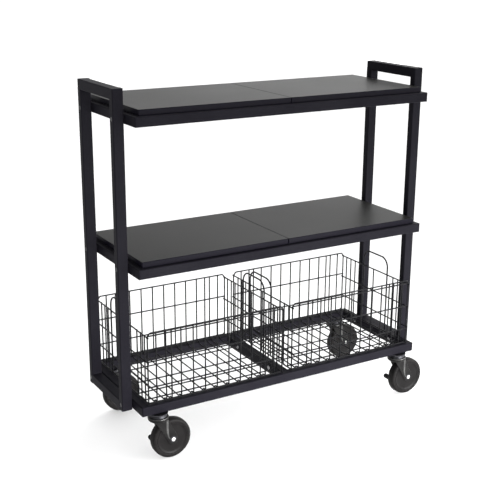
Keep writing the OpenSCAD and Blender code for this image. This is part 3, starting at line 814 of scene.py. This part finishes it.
def caster_axle(corner, centre, outer):
    """Axle with a bright domed cap on a dark washer outside and a dark nut inside."""
    lo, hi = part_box(f"{corner}_axle")
    ends = sorted((abs(lo.y - centre[1]), abs(hi.y - centre[1])))
    nut = ends[0] if corner.startswith("back") else ends[1]
    shape = Shape()
    bar = [(0.0, 0.0160), (AXLE, 0.0160), (AXLE, -0.0175), (0.0, -0.0175)]
    lathe(shape, facing(bar, outer), centre, "Y", 48, 1)
    washer = [(0.0, 0.0159), (0.0076, 0.0159), (0.0080, 0.0162), (0.0078, 0.0166), (0.0062, 0.0168),
              (0.0, 0.0168)]
    lathe(shape, facing(washer, outer), centre, "Y", 56, 1)
    dome = [(0.0, 0.0165), (0.0050, 0.0165), (0.0050, 0.0171), (0.0046, 0.0177), (0.0036, 0.0181),
            (0.0020, 0.01835), (0.0, 0.0184)]
    lathe(shape, facing(dome, outer), centre, "Y", 56, 0)
    hexagon = arc(centre[0], centre[2], 0.0064, 0, 300, 5)
    seat = nut - 0.0024

    def place(u, v, w):
        return Vector((u, centre[1] - outer * w, v))

    plate(shape, hexagon, seat, nut - 0.0002, place, 0.0005, slot=1)
    tip = [(0.0, seat), (0.0036, seat), (0.0036, nut - 0.0003), (0.0030, nut), (0.0, nut)]
    lathe(shape, facing(tip, -outer), centre, "Y", 40, 0)
    shape.object(f"{corner}_caster_axle", [BRIGHT_STEEL, DARK_STEEL], f"{corner}_caster",
                 [f"{corner}_axle"], sharp=35)


def brake_lever(corner, swivel_x, centre):
    """Steel lever on the axle with a ribbed rubber toe tip."""
    shape = Shape()
    ax, ay, az = centre
    tip_x = swivel_x - TIP_BACK
    turn = math.degrees(math.atan2(TIP_Z - az, tip_x - ax))
    outline = arc(ax, az, LEVER_EYE, turn - 272, turn - 88, 20)
    outline += arc(tip_x, TIP_Z, LEVER_END, turn - 85, turn + 85, 14)

    def place(u, v, w):
        return Vector((u, ay + w, v))

    plate(shape, outline, LEVER_IN, LEVER_OUT, place, 0.0005)
    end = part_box(f"{corner}_brake_lever")[1].y - ay
    grip = [(0.0, 0.0166), (TIP - 0.0006, 0.0166), (TIP, 0.0172), (TIP, 0.0196)]
    ribs = 5
    first, last = 0.0200, end - 0.0080
    step = (last - first) / ribs
    groove = TIP - 0.0005
    for i in range(ribs):
        for radius, share in ((groove, 0.15), (groove, 0.35), (TIP, 0.50), (TIP, 0.95)):
            grip.append((radius, first + (i + share) * step))
    grip += [(r, end - TIP + z) for r, z in arc(0.0, 0.0, TIP, 0, 90, 6)[:-1]] + [(0.0, end)]
    lathe(shape, grip, (tip_x, ay, TIP_Z), "Y", 48, 1)
    shape.object(f"{corner}_brake_pedal", [FORK_PAINT, LEVER_TIP], f"{corner}_brake",
                 [f"{corner}_brake_lever"], sharp=40)


def casters():
    for corner in CORNERS:
        lo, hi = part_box(f"{corner}_fork")
        swivel_x, swivel_y = lo.x + DISH, (lo.y + hi.y) / 2
        wheel_lo, wheel_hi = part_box(f"{corner}_wheel")
        centre = tuple((wheel_lo + wheel_hi) / 2)
        outer = -1 if corner.startswith("front") else 1
        caster_fork(corner, swivel_x, swivel_y)
        caster_wheel(corner, centre)
        caster_axle(corner, centre, outer)
        if corner.startswith("front"):
            brake_lever(corner, swivel_x, centre)


# ---------- stage ----------

def stage():
    """A pale floor, and a white surround that brightens toward +X."""
    size = 6.0
    corners = [(x * size, y * size, 0) for x, y in ((-1, -1), (1, -1), (1, 1), (-1, 1))]
    floor = mesh_object("floor", corners, [[0, 1, 2, 3]])
    look = Look("pale_floor", Roughness=0.7, Specular_IOR_Level=0.2)
    pale = look.ramp(look.noise(2.0, 2.0), 0.3, (0.95, 0.95, 0.95), 0.7, (0.97, 0.97, 0.97))
    look.set("Base Color", pale)
    floor.data.materials.append(look.material)

    world = bpy.data.worlds.new("studio")
    bpy.context.scene.world = world
    world.use_nodes = True
    nodes, links = world.node_tree.nodes, world.node_tree.links
    background = nodes["Background"]
    background.inputs["Color"].default_value = (1.0, 1.0, 1.0, 1.0)
    direction = nodes.new("ShaderNodeTexCoord").outputs["Generated"]
    parts = nodes.new("ShaderNodeSeparateXYZ")
    links.new(direction, parts.inputs["Vector"])
    spread = nodes.new("ShaderNodeMapRange")
    for name, value in (("From Min", 0.20), ("From Max", 0.80), ("To Min", 0.75), ("To Max", 2.90)):
        spread.inputs[name].default_value = value
    links.new(parts.outputs["X"], spread.inputs["Value"])
    links.new(spread.outputs["Result"], background.inputs["Strength"])


def area_light(name, place, target, width, height, power, spread=180, shadow=True):
    light = bpy.data.lights.new(name, "AREA")
    light.shape = "RECTANGLE"
    light.size = width
    light.size_y = height
    light.energy = power
    light.spread = math.radians(spread)
    light.use_shadow = shadow
    obj = bpy.data.objects.new(name, light)
    bpy.context.scene.collection.objects.link(obj)
    obj.location = place
    obj.rotation_mode = "QUATERNION"
    obj.rotation_quaternion = (Vector(target) - Vector(place)).to_track_quat("-Z", "Y")


def camera():
    """The camera at the photo's viewpoint; yaw, pitch and roll are in radians."""
    place = Vector((-1.2307, -2.0124, 1.1399))
    yaw, pitch, roll = 0.541, -0.297, 0.008
    level = math.cos(pitch)
    look_dir = Vector((math.sin(yaw) * level, math.cos(yaw) * level, math.sin(pitch)))
    data = bpy.data.cameras.new("camera")
    data.lens = 71.05
    data.sensor_width = 36.0
    obj = bpy.data.objects.new("camera", data)
    bpy.context.scene.collection.objects.link(obj)
    obj.rotation_mode = "QUATERNION"
    turn = look_dir.to_track_quat("-Z", "Y").to_matrix()
    right = turn.col[0] * math.cos(roll) + turn.col[1] * math.sin(roll)
    up = turn.col[1] * math.cos(roll) - turn.col[0] * math.sin(roll)
    turn.col[0] = right
    turn.col[1] = up
    obj.location = place
    obj.rotation_quaternion = turn.to_quaternion()
    bpy.context.scene.camera = obj


cad_finishes()
end_frame_welds()
shelf_frame_welds()
bolt_heads()
panels()
casters()
for side in SIDES:
    basket(side)
stage()
area_light("low", place=(0.6, -1.7, 0.40), target=(-0.1, 0, -0.2), width=1.6, height=0.5, power=17,
           spread=70, shadow=False)
area_light("top", place=(0.2, 0.6, 3.0), target=(0, 0, 0.4), width=3.0, height=2.0, power=6)
camera()
bpy.context.scene.view_settings.view_transform = "Standard"
